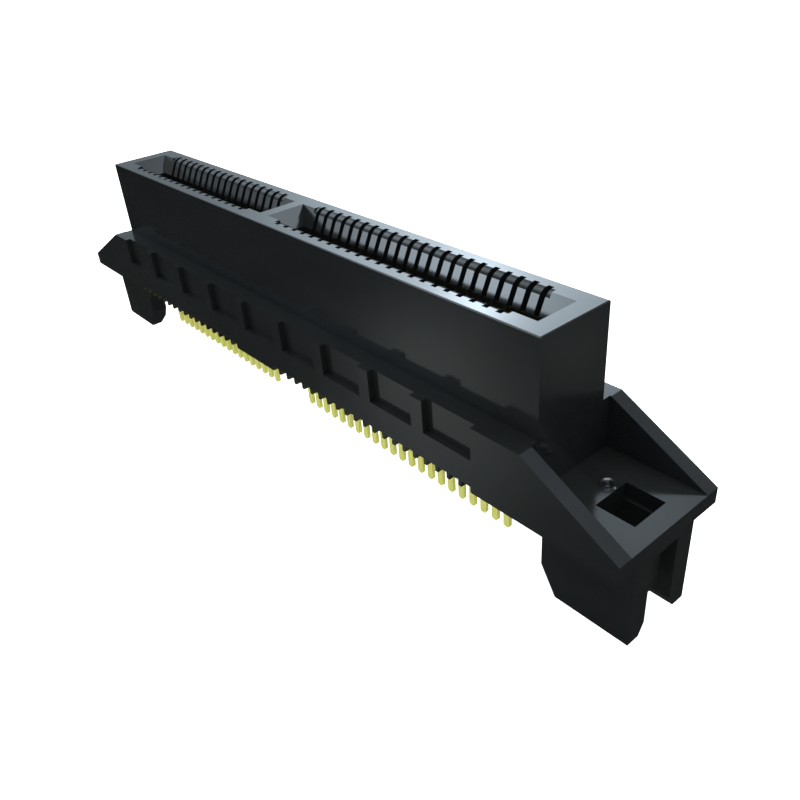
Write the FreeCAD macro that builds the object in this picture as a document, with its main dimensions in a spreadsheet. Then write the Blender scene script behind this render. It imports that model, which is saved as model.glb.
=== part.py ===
import FreeCAD, Part
import Sketcher
import math
import os
import re

# Card edge connector: one moulded housing with a keyed card mouth, two banks of sprung contacts
# and a forked post under each ear that straddles the edge of the host board.
# X runs along the mouth, Y across it and Z up. The origin is under the middle of the housing,
# at the height of the post tips.

doc = FreeCAD.newDocument("card_edge_connector")

# Driving sizes in millimetres and counts
SIZES = [
    ("contactPitch", 1.0, "distance between contact places"),
    ("leftPlaces", 18, "contact places left of the key"),
    ("keyPlaces", 4, "places given up to the key"),
    ("rightPlaces", 22, "contact places right of the key"),
    ("cardThickness", 1.6, "card that is plugged in"),
    ("cardClearance", 0.15, "card slot is wider than the card by this"),
    ("cardDepth", 8.0, "rim to the floor of the card slot"),
    ("boardThickness", 2.36, "host board that the posts straddle"),
    ("boardClearance", 0.02, "host board to each post"),
    ("overallLength", 63.25, "over both ears"),
    ("blockLength", 49.9, "upper block, along the mouth"),
    ("blockWidth", 5.58, "upper block, across the mouth"),
    ("blockHeight", 6.2, "upper block above the ledge"),
    ("bodyWidth", 8.78, "lower block across the mouth"),
    ("bodyHeight", 4.57, "underside to the ledge"),
    ("legHeight", 6.05, "post tips to the underside"),
    ("rimWidth", 1.24, "flat rim around the mouth"),
    ("leadInDepth", 1.35, "depth of the flared mouth"),
    ("lipRadius", 0.8, "rounding of the lips of the mouth beside the contacts"),
    ("keyWidth", 1.0, "key web at the rim"),
    ("grooveWidth", 0.4, "contact groove along the mouth"),
    ("grooveWall", 0.64, "wall left outside a contact groove"),
    ("edgeRadius", 0.08, "rounding of the outer edges of the rim"),
    ("ventWidth", 0.75, "channel in the underside between two contacts"),
    ("ventHeight", 0.42, "depth of that channel"),
    ("ventStart", 1.9, "middle plane to the inner end of that channel"),
    ("recessCount", 9, "recesses along each long side"),
    ("recessPitch", 5.03, "distance between recesses"),
    ("recessWidth", 3.98, "length of a recess along the mouth"),
    ("recessDepth", 0.42, "depth of a recess into the side"),
    ("recessHeight", 2.24, "ledge to the floor of a recess"),
    ("recessShift", -0.66, "middle of the row of recesses along the mouth"),
    ("ledgeRun", 0.1, "level stretch of a gusset beside the block"),
    ("gussetThickness", 1.0, "side wall of an ear"),
    ("earFloor", 1.05, "floor of an ear"),
    ("holeLength", 2.52, "square hole in an ear, along the mouth"),
    ("holeWidth", 2.76, "square hole in an ear, across the mouth"),
    ("holeInset", 1.25, "end of an ear to its hole"),
    ("legThickness", 1.42, "post, across the mouth"),
    ("legLength", 6.18, "post, along the mouth"),
    ("legInset", 0.16, "end of an ear to the end of its post"),
    ("legSlopeLength", 1.09, "bevel of a post toward the tails, along"),
    ("legSlopeHeight", 1.94, "bevel of a post toward the tails, up"),
    ("leadChamferWidth", 0.45, "lead in of the fork, across"),
    ("leadChamferHeight", 0.8, "lead in of the fork, up"),
    ("forkWeb", 0.65, "web between the posts, below the ear"),
    ("tongueThickness", 0.5, "tongue in the fork, along"),
    ("tongueWidth", 1.3, "tongue in the fork, across"),
    ("tongueLength", 3.5, "tongue in the fork, down from the web"),
    ("markInset", 0.6, "gate mark on the right ear to its hole, along"),
    ("markSide", 0.54, "gate mark on the right ear, across"),
    ("markRadius", 0.36, "radius of the gate mark"),
    ("markDepth", 0.2, "depth of the gate mark"),
    ("markRim", 0.19, "width of the raised rim of the gate mark"),
    ("markRaise", 0.1, "height of that rim"),
    ("stripThickness", 0.25, "thickness of the contact strip"),
    ("stripClearance", 0.03, "contact strip to each side of its groove"),
    ("shankWidth", 0.5, "wide shank that grips the housing and ends as the tail"),
    ("shankDrop", 0.25, "top of the shank below the floor of the card slot"),
    ("tailGap", 0.07, "tail to the face of the host board"),
    ("tailHeight", 1.7, "post tips to the tail ends"),
    ("tailRounding", 0.2, "rounding of the corners of a tail end"),
    ("bowRise", 1.05, "floor of the card slot to the bow of the spring"),
    ("bowGap", 0.1, "bow of the spring to the wall of its groove"),
    ("crownDepth", 3.25, "rim to the crown that touches the card"),
    ("crownReach", 0.165, "crown past the face of the card, with no card in"),
    ("tipDepth", 1.8, "rim to the tip of the spring"),
    ("tipBack", 0.62, "tip of the spring behind the face of the card"),
    ("bendRadius", 0.4, "middle line of the bends of the contact strip"),
]

sheet = doc.addObject("Spreadsheet::Sheet", "sizes")
for row, (name, value, note) in enumerate(SIZES, start=1):
    sheet.set(f"A{row}", name)
    sheet.set(f"B{row}", str(value))
    sheet.set(f"C{row}", note)
    sheet.setAlias(f"B{row}", name)
doc.recompute()

ALIAS = re.compile(r"\b(" + "|".join(name for name, value, note in SIZES) + r")\b")

# Heights and places that several features share
UNDERSIDE = "legHeight"
LEDGE = "(legHeight + bodyHeight)"
RIM = "(legHeight + bodyHeight + blockHeight)"
SLOT_FLOOR = f"({RIM} - cardDepth)"
FORK_ROOF = "(legHeight - forkWeb)"
MOUTH_X = "(blockLength / 2 - rimWidth)"
MOUTH_Y = "(blockWidth / 2 - rimWidth)"
SLOT_Y = "((cardThickness + cardClearance) / 2)"
FLARE = f"({MOUTH_Y} - {SLOT_Y})"
GROOVE_Y = "(blockWidth / 2 - grooveWall)"
FORK_Y = "(boardThickness / 2 + boardClearance)"
EAR_X = "(overallLength / 2)"
HOLE_X = f"({EAR_X} - holeInset)"
LEG_X = f"({EAR_X} - legInset - legLength)"
PLACES = "(leftPlaces + keyPlaces + rightPlaces)"
KEY_X = "((leftPlaces - rightPlaces) / 2 * contactPitch)"
LEFT_FIRST = f"(-({PLACES} - 1) / 2 * contactPitch)"
RIGHT_FIRST = f"({LEFT_FIRST} + (leftPlaces + keyPlaces) * contactPitch)"
SHANK_Y = "(boardThickness / 2 + tailGap + stripThickness / 2)"


def bound(text):
    return ALIAS.sub(r"sizes.\1", text)


def number(text):
    result = sheet.evalExpression(bound(text))
    return float(getattr(result, "Value", result))


def origin_plane(body, role):
    return next(part for part in body.Origin.OriginFeatures if part.Role == role)


# A closed or open run of straight lines whose corners are tied to the sheet
def add_lines(sketch, corners, closed=True):
    points = [FreeCAD.Vector(number(x), number(y), 0) for x, y in corners]
    count = len(points) if closed else len(points) - 1
    first = sketch.GeometryCount
    for i in range(count):
        sketch.addGeometry(Part.LineSegment(points[i], points[(i + 1) % len(points)]))
    for i in range(count if closed else count - 1):
        following = first + (i + 1) % count
        sketch.addConstraint(Sketcher.Constraint("Coincident", first + i, 2, following, 1))
    for i, (x, y) in enumerate(corners):
        line, end = (first + i, 1) if i < count else (first + count - 1, 2)
        for kind, text in (("DistanceX", x), ("DistanceY", y)):
            index = sketch.addConstraint(Sketcher.Constraint(kind, line, end, number(text)))
            sketch.setExpression(f"Constraints[{index}]", bound(text))
    return first


# Ties every radius of a sketch to one size
def bind_radius(sketch, name):
    for index, rule in enumerate(sketch.Constraints):
        if rule.Type == "Radius":
            sketch.setExpression(f"Constraints[{index}]", bound(name))
    doc.recompute()


def rectangle(x0, x1, y0, y1):
    return [(x0, y0), (x1, y0), (x1, y1), (x0, y1)]


def add_sketch(body, name, role, lift, outlines):
    sketch = body.newObject("Sketcher::SketchObject", name + "_sketch")
    sketch.AttachmentSupport = [(origin_plane(body, role), "")]
    sketch.MapMode = "FlatFace"
    sketch.setExpression("AttachmentOffset.Base.z", bound(lift))
    for corners in outlines:
        add_lines(sketch, corners)
    doc.recompute()
    return sketch


# A pad or pocket, straight from its sketch, backward, or to both sides of it
def add_feature(body, kind, name, role, lift, outlines, length, side="One side", back=False):
    sketch = add_sketch(body, name, role, lift, outlines)
    before = body.Shape.Volume if not body.Shape.isNull() else 0
    feature = body.newObject("PartDesign::" + kind, name)
    feature.Profile = sketch
    feature.SideType = side
    feature.Reversed = back
    feature.setExpression("Length", bound(length))
    sketch.Visibility = False
    doc.recompute()
    change = body.Shape.Volume - before
    if (kind == "Pad") != (change > 0) or abs(change) < 1e-6:
        raise RuntimeError(f"{name} changes the volume by {change}")
    return feature


def add_pattern(body, name, originals, count, pitch):
    pattern = body.newObject("PartDesign::LinearPattern", name)
    pattern.Originals = originals
    pattern.Direction = (origin_plane(body, "X_Axis"), [""])
    pattern.Mode = "Extent"
    pattern.setExpression("Length", bound(f"({count} - 1) * {pitch}"))
    pattern.setExpression("Occurrences", bound(count))
    body.Tip = pattern
    doc.recompute()
    return pattern


# Lower block with its ledge, and the upper block around the mouth
def add_blocks(body):
    half_length = "blockLength / 2"
    lower = rectangle(f"-{half_length}", half_length, "-bodyWidth / 2", "bodyWidth / 2")
    upper = rectangle(f"-{half_length}", half_length, "-blockWidth / 2", "blockWidth / 2")
    add_feature(body, "Pad", "lower_block", "XY_Plane", UNDERSIDE, [lower], "bodyHeight")
    add_feature(body, "Pad", "upper_block", "XY_Plane", LEDGE, [upper], "blockHeight")


# Rounded outer edges of the rim
def round_rim(body):
    block = body.Tip
    rim = number(RIM)
    edges = [
        f"Edge{index}" for index, edge in enumerate(block.Shape.Edges, start=1)
        if all(abs(vertex.Z - rim) < 1e-6 for vertex in edge.Vertexes)
    ]
    rounding = body.newObject("PartDesign::Fillet", "rounded_rim")
    rounding.Base = (block, edges)
    rounding.setExpression("Radius", bound("edgeRadius"))
    doc.recompute()


# One ear with its sloping gussets, square hole, forked post and tongue, then its mirror image
def add_ears(body):
    outer = "bodyWidth / 2"
    inner = "(bodyWidth / 2 - gussetThickness)"
    floor = "(legHeight + earFloor)"
    trough = [
        (f"-{outer}", UNDERSIDE), (outer, UNDERSIDE), (outer, LEDGE), (inner, LEDGE),
        (inner, floor), (f"-{inner}", floor), (f"-{inner}", LEDGE), (f"-{outer}", LEDGE),
    ]
    ear = add_feature(body, "Pad", "ear", "YZ_Plane", "blockLength / 2", [trough],
                      f"{EAR_X} - blockLength / 2")

    slope = [("blockLength / 2 + ledgeRun", LEDGE), (EAR_X, floor), (EAR_X, LEDGE)]
    ear_slope = add_feature(body, "Pocket", "ear_slope", "XZ_Plane", "0 * bodyWidth", [slope],
                            "bodyWidth * 2", side="Symmetric")

    leg_outer = f"({FORK_Y} + legThickness)"
    leg_front = [
        (f"-{leg_outer}", "0 * legHeight"), (f"-{FORK_Y} - leadChamferWidth", "0 * legHeight"),
        (f"-{FORK_Y}", "leadChamferHeight"), (f"-{FORK_Y}", UNDERSIDE),
        (f"-{leg_outer}", UNDERSIDE),
    ]
    leg_rear = [
        (leg_outer, "0 * legHeight"), (leg_outer, UNDERSIDE), (FORK_Y, UNDERSIDE),
        (FORK_Y, "leadChamferHeight"), (f"{FORK_Y} + leadChamferWidth", "0 * legHeight"),
    ]
    legs = add_feature(body, "Pad", "posts", "YZ_Plane", LEG_X, [leg_front, leg_rear], "legLength")

    bevel = [
        (LEG_X, "0 * legHeight"), (f"{LEG_X} + legSlopeLength", "0 * legHeight"),
        (LEG_X, "legSlopeHeight"),
    ]
    leg_slope = add_feature(body, "Pocket", "post_slope", "XZ_Plane", "0 * bodyWidth", [bevel],
                            "bodyWidth * 2", side="Symmetric")

    web = rectangle(LEG_X, f"{LEG_X} + legLength", f"-{FORK_Y}", FORK_Y)
    fork_web = add_feature(body, "Pad", "fork_web", "XY_Plane", FORK_ROOF, [web], "forkWeb")

    strip = rectangle(HOLE_X, f"{HOLE_X} + tongueThickness", "-tongueWidth / 2", "tongueWidth / 2")
    tongue = add_feature(body, "Pad", "tongue", "XY_Plane", f"{FORK_ROOF} - tongueLength", [strip],
                         "tongueLength")

    square = rectangle(f"{HOLE_X} - holeLength", HOLE_X, "-holeWidth / 2", "holeWidth / 2")
    hole = add_feature(body, "Pocket", "ear_hole", "XY_Plane", floor, [square], "earFloor")
    between = rectangle(f"{HOLE_X} - holeLength", HOLE_X, f"-{FORK_Y}", FORK_Y)
    web_hole = add_feature(body, "Pocket", "web_hole", "XY_Plane", UNDERSIDE, [between], "forkWeb")

    mirror = body.newObject("PartDesign::Mirrored", "left_ear")
    mirror.Originals = [ear, ear_slope, legs, leg_slope, fork_web, tongue, hole, web_hole]
    mirror.MirrorPlane = (origin_plane(body, "YZ_Plane"), [""])
    body.Tip = mirror
    doc.recompute()


# Gate mark of the mould on the floor of the right ear: a small crater with a raised rim
def add_gate_mark(body):
    floor = "(legHeight + earFloor)"
    rim_outer = "(markRadius + markRim)"
    rim = [
        ("markRadius * 0.8", f"{floor} - markDepth"), (rim_outer, f"{floor} - markDepth"),
        (rim_outer, floor), ("markRadius + markRim / 2", f"{floor} + markRaise"),
        ("markRadius * 0.8", f"{floor} + markRaise / 2"),
    ]
    crater = [
        ("0 * markRadius", f"{floor} - markDepth"), ("markRadius / 2", f"{floor} - markDepth"),
        ("markRadius", f"{floor} + markRaise * 1.5"),
        ("0 * markRadius", f"{floor} + markRaise * 1.5"),
    ]
    for kind, name, outline in (("Revolution", "mark_rim", rim), ("Groove", "mark_pit", crater)):
        sketch = add_sketch(body, name, "XZ_Plane", "-markSide", [outline])
        sketch.setExpression("AttachmentOffset.Base.x", bound(f"{HOLE_X} - holeLength - markInset"))
        feature = body.newObject("PartDesign::" + kind, name)
        feature.Profile = sketch
        feature.ReferenceAxis = (sketch, ["V_Axis"])
        feature.Angle = 360
        sketch.Visibility = False
        doc.recompute()


# Flared mouth and card slot on both sides of the key
def add_mouth(body):
    left = (f"-{MOUTH_X}", f"{KEY_X} - keyWidth / 2")
    right = (f"{KEY_X} + keyWidth / 2", MOUTH_X)
    flared = [rectangle(x0, x1, f"-{MOUTH_Y}", MOUTH_Y) for x0, x1 in (left, right)]
    mouth = add_feature(body, "Pocket", "flared_mouth", "XY_Plane", RIM, flared, "leadInDepth")
    mouth.setExpression("TaperAngle", bound(f"-atan({FLARE} / leadInDepth)"))
    doc.recompute()

    straight = [
        rectangle(f"{x0} + {FLARE}", f"{x1} - {FLARE}", f"-{SLOT_Y}", SLOT_Y)
        for x0, x1 in (left, right)
    ]
    add_feature(body, "Pocket", "card_slot", "XY_Plane", RIM, straight, "cardDepth")


# Rounded lips on both long sides of the mouth, as far as the contacts reach
def round_lips(body):
    skim = "edgeRadius / 10"
    corners = [
        (f"{SLOT_Y} - 2 * {skim}", f"{RIM} - leadInDepth"),
        (f"{MOUTH_Y} - {skim}", f"{RIM} + {skim}"),
        (f"{MOUTH_Y} + rimWidth", f"{RIM} + {skim}"),
        (f"{MOUTH_Y} + rimWidth", f"{RIM} + leadInDepth"),
        (f"{SLOT_Y} - 2 * {skim}", f"{RIM} + leadInDepth"),
    ]
    opposite = [(f"-({y})", z) for y, z in corners]
    for side, first, count in (
        ("left", LEFT_FIRST, "leftPlaces"),
        ("right", RIGHT_FIRST, "rightPlaces"),
    ):
        start = f"{first} - contactPitch / 2"
        sketch = add_sketch(body, side + "_lips", "YZ_Plane", start, [corners, opposite])
        for line in (0, len(corners)):
            sketch.fillet(line, 2, number("lipRadius"), True, True)
        bind_radius(sketch, "lipRadius")
        lips = body.newObject("PartDesign::Pocket", side + "_lips")
        lips.Profile = sketch
        lips.Reversed = True
        lips.setExpression("Length", bound(f"{count} * contactPitch"))
        sketch.Visibility = False
        doc.recompute()


# Groove and passage through the floor at every contact place, and a channel in the underside
# between every two
def add_contact_places(body):
    for side, first, count in (
        ("left", LEFT_FIRST, "leftPlaces"),
        ("right", RIGHT_FIRST, "rightPlaces"),
    ):
        groove = add_feature(
            body, "Pocket", side + "_groove", "XY_Plane", RIM,
            [rectangle(f"{first} - grooveWidth / 2", f"{first} + grooveWidth / 2",
                       f"-{GROOVE_Y}", GROOVE_Y)],
            "cardDepth")
        x0 = f"{first} - shankWidth / 2"
        x1 = f"{first} + shankWidth / 2"
        y0 = f"({SHANK_Y} - stripThickness / 2)"
        y1 = f"({SHANK_Y} + stripThickness / 2)"
        passage = add_feature(
            body, "Pocket", side + "_passage", "XY_Plane", UNDERSIDE,
            [rectangle(x0, x1, y0, y1), rectangle(x0, x1, f"-{y1}", f"-{y0}")],
            f"{SLOT_FLOOR} - legHeight", back=True)
        add_pattern(body, side + "_places", [groove, passage], count, "contactPitch")
        x0 = f"({first} + contactPitch / 2 - ventWidth / 2)"
        x1 = f"({first} + contactPitch / 2 + ventWidth / 2)"
        vent = add_feature(
            body, "Pocket", side + "_vent", "XY_Plane", UNDERSIDE,
            [rectangle(x0, x1, "ventStart", "bodyWidth"),
             rectangle(x0, x1, "-bodyWidth", "-ventStart")],
            "ventHeight", back=True)
        add_pattern(body, side + "_vents", [vent], f"({count} - 1)", "contactPitch")


# Row of open recesses along the ledge on both long sides
def add_recesses(body):
    start = "(recessShift - ((recessCount - 1) * recessPitch + recessWidth) / 2)"
    back = "(bodyWidth / 2 - recessDepth)"
    pair = [
        rectangle(start, f"{start} + recessWidth", back, "bodyWidth"),
        rectangle(start, f"{start} + recessWidth", "-bodyWidth", f"-{back}"),
    ]
    recess = add_feature(body, "Pocket", "recess", "XY_Plane", LEDGE, pair, "recessHeight")
    add_pattern(body, "recesses", [recess], "recessCount", "recessPitch")


def make_housing():
    body = doc.addObject("PartDesign::Body", "housing")
    body.Label = "housing"
    add_blocks(body)
    round_rim(body)
    add_ears(body)
    add_gate_mark(body)
    add_mouth(body)
    round_lips(body)
    add_recesses(body)
    add_contact_places(body)
    return body


# One stamped contact at the rear side: round ended tail, wide shank, bowed spring and flared tip
def make_contact():
    path = doc.addObject("Sketcher::SketchObject", "contact_path")
    path.Placement = FreeCAD.Placement(
        FreeCAD.Vector(0, 0, 0), FreeCAD.Rotation(FreeCAD.Vector(1, 1, 1), 120))
    corners = [
        (SHANK_Y, f"{SLOT_FLOOR} - shankDrop - shankWidth"),
        (SHANK_Y, f"{SLOT_FLOOR} + bendRadius / 3"),
        (f"{GROOVE_Y} - bowGap - stripThickness / 2", f"{SLOT_FLOOR} + bowRise"),
        ("cardThickness / 2 - crownReach + stripThickness / 2", f"{RIM} - crownDepth"),
        ("cardThickness / 2 + tipBack", f"{RIM} - tipDepth"),
    ]
    first = add_lines(path, corners, closed=False)
    doc.recompute()
    for i in range(len(corners) - 2):
        path.fillet(first + i, 2, number("bendRadius"), True, True)
        bind_radius(path, "bendRadius")

    band = doc.addObject("Part::Offset2D", "contact_band")
    band.Source = path
    band.Fill = True
    band.Join = "Arc"
    band.setExpression("Value", bound("stripThickness / 2"))

    strip = doc.addObject("Part::Extrusion", "contact_strip")
    strip.Base = band
    strip.DirMode = "Custom"
    strip.Dir = FreeCAD.Vector(1, 0, 0)
    strip.Symmetric = True
    strip.Solid = True
    strip.setExpression("LengthFwd", bound("grooveWidth - 2 * stripClearance"))

    outline = doc.addObject("Sketcher::SketchObject", "shank_outline")
    outline.Placement = FreeCAD.Placement(
        FreeCAD.Vector(0, 0, 0), FreeCAD.Rotation(FreeCAD.Vector(1, 0, 0), 90))
    add_lines(outline, rectangle("-shankWidth / 2", "shankWidth / 2", "tailHeight",
                                 f"{SLOT_FLOOR} - shankDrop"))
    doc.recompute()
    for line, end in ((0, 1), (0, 2)):
        outline.fillet(line, end, number("tailRounding"), True, True)
    bind_radius(outline, "tailRounding")

    shank = doc.addObject("Part::Extrusion", "contact_shank")
    shank.Base = outline
    shank.DirMode = "Custom"
    shank.Dir = FreeCAD.Vector(0, 1, 0)
    shank.Symmetric = True
    shank.Solid = True
    shank.setExpression("LengthFwd", bound("stripThickness"))
    shank.setExpression("Placement.Base.y", bound(SHANK_Y))

    rear = doc.addObject("Part::MultiFuse", "rear_contact")
    rear.Shapes = [strip, shank]
    rear.Refine = True

    front = doc.addObject("Part::Mirroring", "front_contact")
    front.Source = rear
    front.Normal = FreeCAD.Vector(0, 1, 0)
    doc.recompute()
    return rear, front


# The two contacts of every place, front and rear, carried to that place
def make_contact_pairs():
    rear, front = make_contact()
    banks = (("leftPlaces", LEFT_FIRST), ("rightPlaces", RIGHT_FIRST))
    pairs = []
    for count, first in banks:
        for step in range(int(number(count))):
            pair = doc.addObject("Part::Compound", f"contact_pair_{len(pairs) + 1:02d}")
            pair.Label = f"contact_pair_{len(pairs) + 1:02d}"
            pair.Links = [rear, front]
            pair.setExpression("Placement.Base.x", bound(f"{first} + {step} * contactPitch"))
            pairs.append(pair)
    doc.recompute()
    return pairs


nodes = [make_housing()] + make_contact_pairs()
doc.recompute()

for item in doc.Objects:
    if "Invalid" in item.State or "Error" in item.State:
        raise RuntimeError(f"{item.Label} failed: {item.State}")
for node in nodes:
    if node.Shape.isNull() or not node.Shape.isValid():
        raise RuntimeError(f"{node.Label} has no valid shape")

os.makedirs("parts", exist_ok=True)
for node in nodes:
    node.Shape.exportStep(f"parts/{node.Label}.step")

print("housing volume", round(nodes[0].Shape.Volume, 2), "solids", len(nodes[0].Shape.Solids))
print("contact pair volume", round(nodes[1].Shape.Volume, 3), "solids", len(nodes[1].Shape.Solids))
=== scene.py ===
import math

import bpy
from mathutils import Matrix, Vector


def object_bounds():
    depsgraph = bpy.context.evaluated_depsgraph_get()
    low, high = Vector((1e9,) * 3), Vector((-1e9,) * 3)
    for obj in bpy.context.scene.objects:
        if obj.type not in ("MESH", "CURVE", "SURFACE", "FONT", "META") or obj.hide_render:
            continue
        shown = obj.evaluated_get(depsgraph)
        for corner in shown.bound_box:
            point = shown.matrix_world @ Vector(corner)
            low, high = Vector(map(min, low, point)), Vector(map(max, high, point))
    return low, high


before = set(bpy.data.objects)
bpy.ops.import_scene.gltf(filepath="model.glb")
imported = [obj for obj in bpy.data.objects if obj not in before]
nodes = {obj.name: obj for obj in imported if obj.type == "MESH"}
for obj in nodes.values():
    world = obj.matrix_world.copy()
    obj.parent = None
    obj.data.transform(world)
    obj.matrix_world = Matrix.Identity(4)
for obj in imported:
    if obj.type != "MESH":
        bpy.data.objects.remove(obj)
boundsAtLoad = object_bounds()
print("frame loaded:", len(nodes), "nodes")


def toLinear(hexColour):
    # sRGB hex to the linear colour that the shader takes
    channels = [int(hexColour[i:i + 2], 16) / 255 for i in (1, 3, 5)]
    linear = [c / 12.92 if c <= 0.04045 else ((c + 0.055) / 1.055) ** 2.4 for c in channels]
    return (*linear, 1.0)


def addNode(tree, kind, settings=None, values=None, links=None):
    # one node with its settings, its socket values and the outputs that feed it
    node = tree.nodes.new(kind)
    for name, value in (settings or {}).items():
        setattr(node, name, value)
    for socket, value in (values or {}).items():
        node.inputs[socket].default_value = value
    for socket, output in (links or {}).items():
        tree.links.new(output, node.inputs[socket])
    return node


def newMaterial(name):
    material = bpy.data.materials.new(name)
    material.use_nodes = True
    tree = material.node_tree
    tree.nodes.clear()
    return material, tree


# Moulded housing: black glass filled polymer, shot into a polished tool
mouldedBlack = {
    "colour": "#101111",
    "glassTint": "#161818",  # where the filler lies close under the skin
    "roughness": (0.10, 0.16),  # polished tool, dulled a little where the melt front cooled
    "ior": 1.5,
    "flowScale": (120.0, 420.0, 420.0),  # flow streaks about 8 mm long and 2 mm apart
    "flowDetail": 4.0,
    "flowSpread": (0.3, 0.7),  # the noise seldom leaves these values
    "skinScale": 9000.0,  # 0.1 mm skin grain; the real one is finer
    "skinBump": 0.0000001,
    "waveScale": 260.0,  # sink waves about 4 mm apart
    "waveBump": 0.000012,
}


def makeMouldedBlack(settings):
    material, tree = newMaterial("moulded black polymer")
    place = addNode(tree, "ShaderNodeTexCoord")
    stretched = addNode(tree, "ShaderNodeMapping", values={"Scale": settings["flowScale"]},
                        links={"Vector": place.outputs["Object"]})
    # melt flow runs along the part, so the skin shows long faint streaks
    flow = addNode(tree, "ShaderNodeTexNoise",
                   values={"Scale": 1.0, "Detail": settings["flowDetail"], "Roughness": 0.55},
                   links={"Vector": stretched.outputs["Vector"]})
    colour = addNode(tree, "ShaderNodeMix", {"data_type": "RGBA"},
                     {6: toLinear(settings["colour"]), 7: toLinear(settings["glassTint"])},
                     {0: flow.outputs["Fac"]})
    smooth, dull = settings["roughness"]
    least, most = settings["flowSpread"]
    gloss = addNode(tree, "ShaderNodeMapRange",
                    values={"From Min": least, "From Max": most, "To Min": smooth, "To Max": dull},
                    links={"Value": flow.outputs["Fac"]})
    skin = addNode(tree, "ShaderNodeTexNoise", values={"Scale": settings["skinScale"], "Detail": 2.0},
                   links={"Vector": place.outputs["Object"]})
    sink = addNode(tree, "ShaderNodeTexNoise", values={"Scale": settings["waveScale"], "Detail": 1.0},
                   links={"Vector": place.outputs["Object"]})
    waves = addNode(tree, "ShaderNodeBump", values={"Distance": settings["waveBump"]},
                    links={"Height": sink.outputs["Fac"]})
    grain = addNode(tree, "ShaderNodeBump", values={"Distance": settings["skinBump"]},
                    links={"Height": skin.outputs["Fac"], "Normal": waves.outputs["Normal"]})
    shader = addNode(tree, "ShaderNodeBsdfPrincipled", values={"IOR": settings["ior"]},
                     links={"Base Color": colour.outputs[2], "Roughness": gloss.outputs["Result"],
                            "Normal": grain.outputs["Normal"]})
    addNode(tree, "ShaderNodeOutputMaterial", links={"Surface": shader.outputs["BSDF"]})
    return material


# Stamped contacts: copper alloy strip, hard gold on the springs and matte gold flash on the tails
platedGold = {
    "springColour": "#cdbf63",
    "tailColour": "#d6d46e",  # flash is thin and pale, with a green cast
    "springRoughness": 0.28,
    "tailRoughness": 0.55,  # matte bath, so the tails scatter light and look bright from all sides
    "springMetallic": 1.0,
    "tailMetallic": 0.3,
    "plateScale": 2500.0,  # clouds in the plating about 0.4 mm across
    "cloudDepth": 0.12,
    "rollScale": (9000.0, 9000.0, 600.0),  # rolling lines run up the strip, drawn 0.1 mm apart
    "rollBump": 0.000002,
    "tailTop": (0.0056, 0.0064),  # the plating changes over here, under the housing
}


def makePlatedGold(settings):
    material, tree = newMaterial("gold on stamped strip")
    place = addNode(tree, "ShaderNodeTexCoord")
    height = addNode(tree, "ShaderNodeSeparateXYZ", links={"Vector": place.outputs["Object"]})
    low, high = settings["tailTop"]
    # 0 on the tails, 1 on the springs
    zone = addNode(tree, "ShaderNodeMapRange", values={"From Min": low, "From Max": high},
                   links={"Value": height.outputs["Z"]}).outputs["Result"]
    clouds = addNode(tree, "ShaderNodeTexNoise", values={"Scale": settings["plateScale"], "Detail": 3.0},
                     links={"Vector": place.outputs["Object"]}).outputs["Fac"]
    plate = addNode(tree, "ShaderNodeMix", {"data_type": "RGBA"},
                    {6: toLinear(settings["tailColour"]), 7: toLinear(settings["springColour"])},
                    {0: zone})
    shade = addNode(tree, "ShaderNodeMapRange",
                    values={"To Min": 1.0 - settings["cloudDepth"], "To Max": 1.0},
                    links={"Value": clouds})
    colour = addNode(tree, "ShaderNodeHueSaturation",
                     links={"Color": plate.outputs[2], "Value": shade.outputs["Result"]})
    gloss = addNode(tree, "ShaderNodeMapRange",
                    values={"To Min": settings["tailRoughness"], "To Max": settings["springRoughness"]},
                    links={"Value": zone})
    metal = addNode(tree, "ShaderNodeMapRange",
                    values={"To Min": settings["tailMetallic"], "To Max": settings["springMetallic"]},
                    links={"Value": zone})
    lengthwise = addNode(tree, "ShaderNodeMapping", values={"Scale": settings["rollScale"]},
                         links={"Vector": place.outputs["Object"]})
    rolling = addNode(tree, "ShaderNodeTexNoise", values={"Scale": 1.0, "Detail": 2.0},
                      links={"Vector": lengthwise.outputs["Vector"]})
    lines = addNode(tree, "ShaderNodeBump", values={"Distance": settings["rollBump"]},
                    links={"Height": rolling.outputs["Fac"]})
    shader = addNode(tree, "ShaderNodeBsdfPrincipled",
                     links={"Base Color": colour.outputs["Color"], "Metallic": metal.outputs["Result"],
                            "Roughness": gloss.outputs["Result"], "Normal": lines.outputs["Normal"]})
    addNode(tree, "ShaderNodeOutputMaterial", links={"Surface": shader.outputs["BSDF"]})
    return material


housingMaterial = makeMouldedBlack(mouldedBlack)
contactMaterial = makePlatedGold(platedGold)
for name, node in nodes.items():
    material = housingMaterial if name == "housing" else contactMaterial
    for slot in node.material_slots:
        slot.material = material
print("materials assigned")


def addSheet(name, corners, faces, settings):
    # a pale sheet round the part that gives light of its own
    mesh = bpy.data.meshes.new(name)
    mesh.from_pydata(corners, [], faces)
    material, tree = newMaterial(settings["material"])
    place = addNode(tree, "ShaderNodeTexCoord")
    haze = addNode(tree, "ShaderNodeTexNoise", values={"Scale": settings["toothScale"], "Detail": 3.0},
                   links={"Vector": place.outputs["Object"]})
    tooth = addNode(tree, "ShaderNodeBump", values={"Distance": settings["toothBump"]},
                    links={"Height": haze.outputs["Fac"]})
    shader = addNode(tree, "ShaderNodeBsdfPrincipled",
                     values={"Base Color": toLinear(settings["colour"]),
                             "Roughness": settings["roughness"],
                             "Emission Color": toLinear(settings["lamps"]),
                             "Emission Strength": settings["glow"]},
                     links={"Normal": tooth.outputs["Normal"]})
    addNode(tree, "ShaderNodeOutputMaterial", links={"Surface": shader.outputs["BSDF"]})
    mesh.materials.append(material)
    sheet = bpy.data.objects.new(name, mesh)
    bpy.context.scene.collection.objects.link(sheet)
    return sheet


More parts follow.
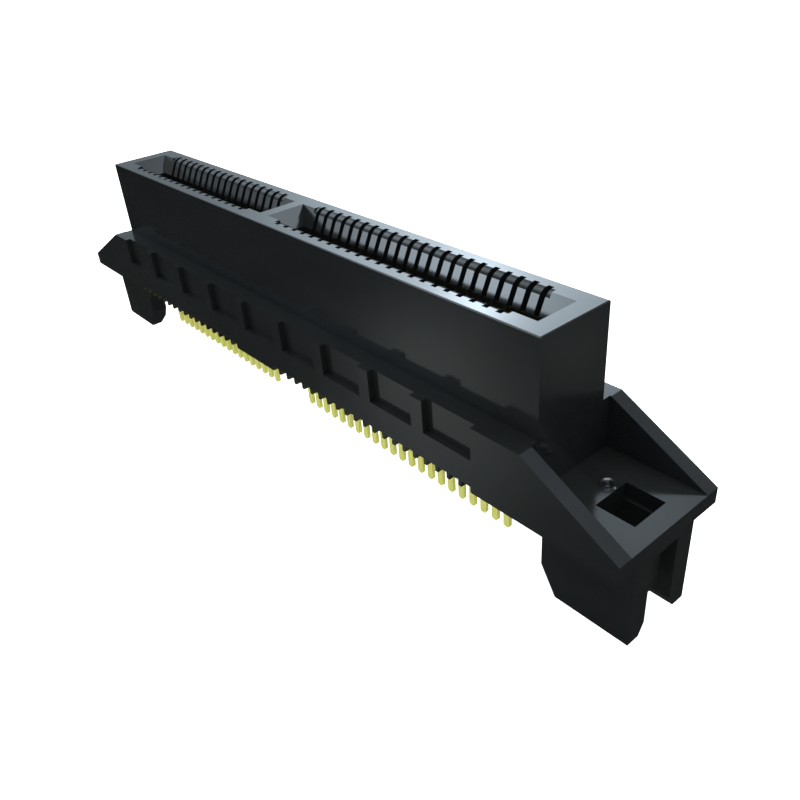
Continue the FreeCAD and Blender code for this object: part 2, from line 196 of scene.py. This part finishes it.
# Floor: a light table, far wider than the part, so that the part throws hardly any shadow
floorSheet = {
    "material": "opal sheet of a light table",
    "colour": "#7a7a7a",  # opal acrylic lets light through and throws little of it back
    "lamps": "#ffffff",
    "glow": 1.45,
    "roughness": 0.6,
    "toothScale": 2000.0,  # 0.5 mm tooth of the matt side
    "toothBump": 0.00001,
    "halfWidth": 1.5,
    "gap": 0.00005,  # below the lowest point of the part
}


def makeFloor(settings):
    half = settings["halfWidth"]
    low = boundsAtLoad[0].z - settings["gap"]
    corners = [(-half, -half, low), (half, -half, low), (half, half, low), (-half, half, low)]
    floor = addSheet("floor", corners, [(0, 1, 2, 3)], settings)
    floor.visible_glossy = False  # the black part mirrors the dim studio and not the bright sheet
    return floor


makeFloor(floorSheet)
print("floor laid")

# Backdrop: white paper hung in a ring round the floor, for views that look past its edge
paperRing = {
    "material": "white background paper",
    "colour": "#ffffff",
    "lamps": "#ffffff",
    "glow": 1.0,
    "roughness": 0.9,
    "toothScale": 1000.0,  # 1 mm fibres
    "toothBump": 0.00002,
    "radius": 1.2,
    "height": 1.6,
    "sides": 96,
}


def makeBackdrop(settings):
    low = boundsAtLoad[0].z - floorSheet["gap"]
    high = low + settings["height"]
    sides = settings["sides"]
    turns = [2 * math.pi * i / sides for i in range(sides)]
    ring = [(settings["radius"] * math.cos(turn), settings["radius"] * math.sin(turn)) for turn in turns]
    corners = [(x, y, z) for z in (low, high) for x, y in ring]
    walls = [(i, (i + 1) % sides, sides + (i + 1) % sides, sides + i) for i in range(sides)]
    backdrop = addSheet("backdrop", corners, walls, settings)
    # it only closes the view: the light of the studio reaches the part as if it weren't there
    backdrop.active_material.cycles.emission_sampling = "NONE"
    backdrop.visible_diffuse = False
    backdrop.visible_glossy = False
    backdrop.visible_transmission = False
    backdrop.visible_shadow = False
    return backdrop


makeBackdrop(paperRing)
print("backdrop hung")

# Overhead soft box
overheadBox = {"height": 0.5, "side": 0.6, "power": 5.5}


def makeOverheadBox(settings):
    data = bpy.data.lights.new("overhead box", "AREA")
    data.size = settings["side"]
    data.energy = settings["power"]
    box = bpy.data.objects.new("overhead box", data)
    box.location = (0.0, 0.0, settings["height"])
    bpy.context.scene.collection.objects.link(box)


makeOverheadBox(overheadBox)

# Studio round the part: dim walls, a lighter ceiling and soft round glows that the gloss mirrors
studio = {
    "skyColour": "#d1e1ed",  # daylight through windows
    "groundColour": "#e6edeb",
    "below": 0.035,
    "above": 0.56,
    "horizon": (-0.05, 0.15),  # the walls grow lighter between these heights
    # direction toward the glow, how fast it fades off that direction, and strength
    "glows": [
        {"toward": (-0.64, 0.64, 0.43), "sharpness": 42.0, "strength": 5.0},  # window behind
        {"toward": (-0.64, 0.64, 0.43), "sharpness": 1200.0, "strength": 9.0},  # its bright pane
        {"toward": (-0.38, 0.65, 0.66), "sharpness": 300.0, "strength": 0.9},  # skylight over it
        {"toward": (-0.64, -0.715, 0.28), "sharpness": 70.0, "strength": 11.0},  # window in front
        {"toward": (-0.60, -0.565, -0.565), "sharpness": 150.0, "strength": 0.46},  # table top in front
        {"toward": (-0.67, -0.57, -0.48), "sharpness": 400.0, "strength": 0.42},  # paper on that table
        {"toward": (0.54, 0.69, -0.48), "sharpness": 400.0, "strength": 0.18},  # table at the right
        {"toward": (0.75, 0.49, 0.44), "sharpness": 60.0, "strength": 4.6},  # window at the right
        {"toward": (-0.72, -0.05, 0.69), "sharpness": 30.0, "strength": 3.0},  # lamp overhead
        {"toward": (0.62, -0.62, 0.48), "sharpness": 30.0, "strength": 2.5},  # window behind the camera
        {"toward": (-0.78, -0.47, 0.42), "sharpness": 9.0, "strength": -0.46},  # black flag over the front
        {"toward": (-0.90, -0.40, 0.15), "sharpness": 120.0, "strength": 0.4},  # gap beside the flag
        {"toward": (-0.90, -0.34, -0.28), "sharpness": 40.0, "strength": 0.018},  # far end of the table
    ],
}


def makeStudio(settings):
    world = bpy.data.worlds.new("studio")
    bpy.context.scene.world = world
    world.use_nodes = True
    tree = world.node_tree
    tree.nodes.clear()
    sky = addNode(tree, "ShaderNodeTexCoord").outputs["Generated"]
    height = addNode(tree, "ShaderNodeSeparateXYZ", links={"Vector": sky})
    low, high = settings["horizon"]
    rise = addNode(tree, "ShaderNodeMapRange", {"interpolation_type": "SMOOTHSTEP"},
                   {"From Min": low, "From Max": high},
                   {"Value": height.outputs["Z"]}).outputs["Result"]
    tint = addNode(tree, "ShaderNodeMix", {"data_type": "RGBA"},
                   {6: toLinear(settings["groundColour"]), 7: toLinear(settings["skyColour"])},
                   {0: rise}).outputs[2]
    total = addNode(tree, "ShaderNodeMapRange",
                    values={"To Min": settings["below"], "To Max": settings["above"]},
                    links={"Value": rise}).outputs["Result"]
    for glow in settings["glows"]:
        toward = Vector(glow["toward"]).normalized()
        nearness = addNode(tree, "ShaderNodeVectorMath", {"operation": "DOT_PRODUCT"},
                           {1: toward}, {0: sky})
        facing = addNode(tree, "ShaderNodeMath", {"operation": "MAXIMUM"}, {1: 0.0},
                         {0: nearness.outputs["Value"]})
        lobe = addNode(tree, "ShaderNodeMath", {"operation": "POWER"}, {1: glow["sharpness"]},
                       {0: facing.outputs["Value"]})
        total = addNode(tree, "ShaderNodeMath", {"operation": "MULTIPLY_ADD"}, {1: glow["strength"]},
                        {0: lobe.outputs["Value"], 2: total}).outputs["Value"]
    # behind the flag it is dark, and no darker than that
    total = addNode(tree, "ShaderNodeMath", {"operation": "MAXIMUM"}, {1: 0.0}, {0: total}).outputs["Value"]
    light = addNode(tree, "ShaderNodeBackground", links={"Color": tint, "Strength": total})
    addNode(tree, "ShaderNodeOutputWorld", links={"Surface": light.outputs["Background"]})


makeStudio(studio)
bpy.context.scene.view_settings.view_transform = "Standard"
print("lights set")

# Camera at the photograph's place, from the fit of the part's edges
photoCamera = {
    "place": (0.047529, -0.029675, 0.035558),
    "forward": (-0.66386, 0.52477, -0.53282),
    "right": (0.65273, 0.75431, -0.07036),
    "lens": 36.048,
    "sensor": 36.0,
    "clip": (0.001, 10.0),
}


def makeCamera(settings):
    data = bpy.data.cameras.new("photo camera")
    data.sensor_width = settings["sensor"]
    data.lens = settings["lens"]
    data.clip_start, data.clip_end = settings["clip"]
    camera = bpy.data.objects.new("photo camera", data)
    back = -Vector(settings["forward"]).normalized()
    right = Vector(settings["right"])
    right = (right - right.dot(back) * back).normalized()
    up = back.cross(right)
    turn = Matrix((right, up, back)).transposed().to_4x4()
    camera.matrix_world = Matrix.Translation(settings["place"]) @ turn
    bpy.context.scene.collection.objects.link(camera)
    bpy.context.scene.camera = camera


makeCamera(photoCamera)
print("camera set")
